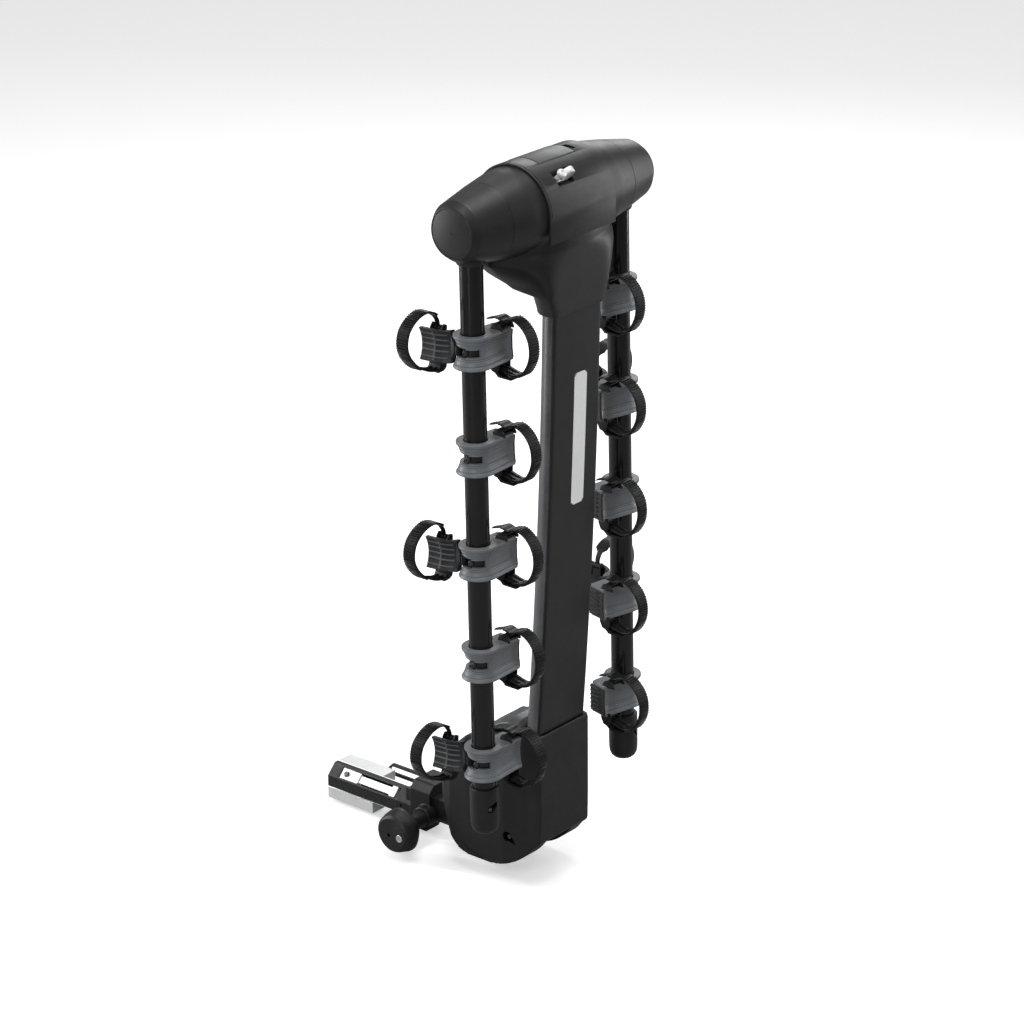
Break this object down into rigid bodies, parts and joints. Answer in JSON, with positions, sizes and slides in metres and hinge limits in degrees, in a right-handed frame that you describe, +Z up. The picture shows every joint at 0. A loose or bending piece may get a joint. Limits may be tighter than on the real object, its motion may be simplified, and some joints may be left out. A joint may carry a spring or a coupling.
{
  "type": "hitch bike carrier",
  "caption": "Mast-style bike carrier for a 2-inch receiver: tilting mast, fold-down support arms with strapped cradles and anti-sway cages, and a knob-tightened hitch tongue.",
  "frame": {"origin": "centre of the end face of the square shank", "axes": "+X rearward away from the vehicle along the shank, +Y to the right seen from behind, +Z up"},
  "size_m": [0.4775, 0.4698, 1.0543],
  "materials": {
    "black_paint": "satin powder coat, fine texture",
    "black_plastic": "fine-grained moulded finish",
    "hub_plastic": "satin moulded finish",
    "bare_aluminium": "tumbled, bare",
    "steel": "zinc plated",
    "mast_paint": "metallic grey, satin",
    "lever_grey": "smooth moulded finish",
    "pad_rubber": "matt slate-grey elastomer",
    "strap_rubber": "matt elastomer"
  },
  "bodies": {
    "tongue": {"hitch_bar": "black_paint", "receiver_collar": "black_plastic", "tether_loop": "black_paint", "tilt_pivot_bolt": "steel"},
    "mast": {"mast_foot": "steel", "mast": "mast_paint", "mast_cover": "black_paint", "base_shell_left": "black_plastic", "base_shell_right": "black_plastic", "hub_housing_front": "hub_plastic", "hub_housing_rear": "hub_plastic", "hub_sleeve": "hub_plastic", "cable_hook": "bare_aluminium"},
    "tilt_lever": {"tilt_lever": "lever_grey"},
    "latch_pin": {"latch_pin": "steel"},
    "arms": {"cross_shaft": "steel", "left_arm_hub": "hub_plastic", "left_arm_tube": "black_paint", "left_end_cap": "black_plastic", "left_cradle_1": "pad_rubber", "left_cradle_2": "pad_rubber", "left_cradle_3": "pad_rubber", "left_cradle_4": "pad_rubber", "left_cradle_5": "pad_rubber", "right_arm_hub": "hub_plastic", "right_arm_tube": "black_paint", "right_end_cap": "black_plastic", "right_cradle_1": "pad_rubber", "right_cradle_2": "pad_rubber", "right_cradle_3": "pad_rubber", "right_cradle_4": "pad_rubber", "right_cradle_5": "pad_rubber"},
    "fold_lever": {"fold_lever": "lever_grey"},
    "tension_knob": {"tension_knob": "black_plastic"},
    "knob_lock": {"knob_lock": "bare_aluminium"},
    "draw_rod": {"draw_rod": "bare_aluminium"},
    "snap_pin": {"snap_pin": "steel"},
    "wedge_upper": {"wedge_upper": "bare_aluminium"},
    "wedge_lower": {"wedge_lower": "bare_aluminium"},
    "left_strap_1": {"left_strap_1": "strap_rubber"},
    "left_sway_cage_1": {"left_sway_cage_1": "black_plastic"},
    "left_sway_strap_1": {"left_sway_strap_1": "strap_rubber"},
    "left_strap_2": {"left_strap_2": "strap_rubber"},
    "left_strap_3": {"left_strap_3": "strap_rubber"},
    "left_sway_cage_3": {"left_sway_cage_3": "black_plastic"},
    "left_sway_strap_3": {"left_sway_strap_3": "strap_rubber"},
    "left_strap_4": {"left_strap_4": "strap_rubber"},
    "left_strap_5": {"left_strap_5": "strap_rubber"},
    "left_sway_cage_5": {"left_sway_cage_5": "black_plastic"},
    "left_sway_strap_5": {"left_sway_strap_5": "strap_rubber"},
    "right_strap_1": {"right_strap_1": "strap_rubber"},
    "right_strap_2": {"right_strap_2": "strap_rubber"},
    "right_sway_cage_2": {"right_sway_cage_2": "black_plastic"},
    "right_sway_strap_2": {"right_sway_strap_2": "strap_rubber"},
    "right_strap_3": {"right_strap_3": "strap_rubber"},
    "right_strap_4": {"right_strap_4": "strap_rubber"},
    "right_sway_cage_4": {"right_sway_cage_4": "black_plastic"},
    "right_sway_strap_4": {"right_sway_strap_4": "strap_rubber"},
    "right_strap_5": {"right_strap_5": "strap_rubber"}
  },
  "joints": [
    {"name": "mast_tilt", "type": "hinge", "parent": "tongue", "child": "mast", "pos_m": [0.336, 0, 0.0855], "axis": [0, 1, 0], "range_deg": [0, 40]},
    {"name": "tilt_lever_pull", "type": "hinge", "parent": "mast", "child": "tilt_lever", "pos_m": [0.37, 0, 0.1945], "axis": [0, 1, 0], "range_deg": [0, 12]},
    {"name": "latch_lift", "type": "slide", "parent": "mast", "child": "latch_pin", "axis": [0, 0, 1], "range_m": [0, 0.008]},
    {"name": "arm_fold", "type": "hinge", "parent": "mast", "child": "arms", "pos_m": [0.391, 0, 0.959], "axis": [0, -1, 0], "range_deg": [0, 92]},
    {"name": "fold_lever_lift", "type": "hinge", "parent": "mast", "child": "fold_lever", "pos_m": [0.391, -0.0364, 1.0242], "axis": [1, 0, 0], "range_deg": [0, 25]},
    {"name": "knob_turn", "type": "hinge", "parent": "tongue", "child": "tension_knob", "pos_m": [0.198, -0.08, 0.0085], "axis": [0, -1, 0], "range_deg": [0, 720]},
    {"name": "knob_lock_turn", "type": "hinge", "parent": "tension_knob", "child": "knob_lock", "pos_m": [0.212, -0.104, 0.006], "axis": [0, -1, 0], "range_deg": [0, 90]},
    {"name": "draw_rod_slide", "type": "slide", "parent": "tongue", "child": "draw_rod", "axis": [1, 0, 0], "range_m": [0, 0.004]},
    {"name": "snap_pin_press", "type": "slide", "parent": "draw_rod", "child": "snap_pin", "axis": [0, 0.7071, -0.7071], "range_m": [0, 0.003]},
    {"name": "wedge_upper_spread", "type": "slide", "parent": "tongue", "child": "wedge_upper", "axis": [0, 0.544, 0.8391], "range_m": [0, 0.0025]},
    {"name": "wedge_lower_spread", "type": "slide", "parent": "tongue", "child": "wedge_lower", "axis": [0, -0.544, -0.8391], "range_m": [0, 0.0025]},
    {"name": "left_strap_1_open", "type": "hinge", "parent": "arms", "child": "left_strap_1", "pos_m": [0.40518, -0.1124, 0.76025], "axis": [0, 1, 0], "range_deg": [0, 70]},
    {"name": "left_cage_swivel_1", "type": "hinge", "parent": "arms", "child": "left_sway_cage_1", "pos_m": [0.39449, -0.153, 0.79304], "axis": [-0.021, 0, 0.9998], "range_deg": [-40, 20]},
    {"name": "left_sway_strap_1_open", "type": "hinge", "parent": "left_sway_cage_1", "child": "left_sway_strap_1", "pos_m": [0.34406, -0.167, 0.76497], "axis": [0.9998, 0, 0.021], "range_deg": [0, 70]},
    {"name": "left_strap_2_open", "type": "hinge", "parent": "arms", "child": "left_strap_2", "pos_m": [0.40826, -0.1124, 0.61329], "axis": [0, 1, 0], "range_deg": [0, 70]},
    {"name": "left_strap_3_open", "type": "hinge", "parent": "arms", "child": "left_strap_3", "pos_m": [0.41135, -0.1124, 0.46632], "axis": [0, 1, 0], "range_deg": [0, 70]},
    {"name": "left_cage_swivel_3", "type": "hinge", "parent": "arms", "child": "left_sway_cage_3", "pos_m": [0.40066, -0.153, 0.4991], "axis": [-0.021, 0, 0.9998], "range_deg": [-40, 20]},
    {"name": "left_sway_strap_3_open", "type": "hinge", "parent": "left_sway_cage_3", "child": "left_sway_strap_3", "pos_m": [0.35024, -0.167, 0.47104], "axis": [0.9998, 0, 0.021], "range_deg": [0, 70]},
    {"name": "left_strap_4_open", "type": "hinge", "parent": "arms", "child": "left_strap_4", "pos_m": [0.41444, -0.1124, 0.31935], "axis": [0, 1, 0], "range_deg": [0, 70]},
    {"name": "left_strap_5_open", "type": "hinge", "parent": "arms", "child": "left_strap_5", "pos_m": [0.41752, -0.1124, 0.17238], "axis": [0, 1, 0], "range_deg": [0, 70]},
    {"name": "left_cage_swivel_5", "type": "hinge", "parent": "arms", "child": "left_sway_cage_5", "pos_m": [0.40683, -0.153, 0.20517], "axis": [-0.021, 0, 0.9998], "range_deg": [-40, 20]},
    {"name": "left_sway_strap_5_open", "type": "hinge", "parent": "left_sway_cage_5", "child": "left_sway_strap_5", "pos_m": [0.35641, -0.167, 0.1771], "axis": [0.9998, 0, 0.021], "range_deg": [0, 70]},
    {"name": "right_strap_1_open", "type": "hinge", "parent": "arms", "child": "right_strap_1", "pos_m": [0.40518, 0.1124, 0.76025], "axis": [0, 1, 0], "range_deg": [0, 70]},
    {"name": "right_strap_2_open", "type": "hinge", "parent": "arms", "child": "right_strap_2", "pos_m": [0.40826, 0.1124, 0.61329], "axis": [0, 1, 0], "range_deg": [0, 70]},
    {"name": "right_cage_swivel_2", "type": "hinge", "parent": "arms", "child": "right_sway_cage_2", "pos_m": [0.39757, 0.153, 0.64607], "axis": [0.021, 0, -0.9998], "range_deg": [-40, 20]},
    {"name": "right_sway_strap_2_open", "type": "hinge", "parent": "right_sway_cage_2", "child": "right_sway_strap_2", "pos_m": [0.34715, 0.167, 0.618], "axis": [-0.9998, 0, -0.021], "range_deg": [0, 70]},
    {"name": "right_strap_3_open", "type": "hinge", "parent": "arms", "child": "right_strap_3", "pos_m": [0.41135, 0.1124, 0.46632], "axis": [0, 1, 0], "range_deg": [0, 70]},
    {"name": "right_strap_4_open", "type": "hinge", "parent": "arms", "child": "right_strap_4", "pos_m": [0.41444, 0.1124, 0.31935], "axis": [0, 1, 0], "range_deg": [0, 70]},
    {"name": "right_cage_swivel_4", "type": "hinge", "parent": "arms", "child": "right_sway_cage_4", "pos_m": [0.40375, 0.153, 0.35213], "axis": [0.021, 0, -0.9998], "range_deg": [-40, 20]},
    {"name": "right_sway_strap_4_open", "type": "hinge", "parent": "right_sway_cage_4", "child": "right_sway_strap_4", "pos_m": [0.35332, 0.167, 0.32407], "axis": [-0.9998, 0, -0.021], "range_deg": [0, 70]},
    {"name": "right_strap_5_open", "type": "hinge", "parent": "arms", "child": "right_strap_5", "pos_m": [0.41752, 0.1124, 0.17238], "axis": [0, 1, 0], "range_deg": [0, 70]}
  ],
  "couplings": [
    {"joint": "latch_lift", "follows": "tilt_lever_pull", "m_per_rad": 0.038159},
    {"joint": "knob_turn", "follows": "draw_rod_slide", "rad_per_m": 3138.5},
    {"joint": "wedge_upper_spread", "follows": "draw_rod_slide", "ratio": 0.62438},
    {"joint": "wedge_lower_spread", "follows": "draw_rod_slide", "ratio": 0.62438}
  ]
}
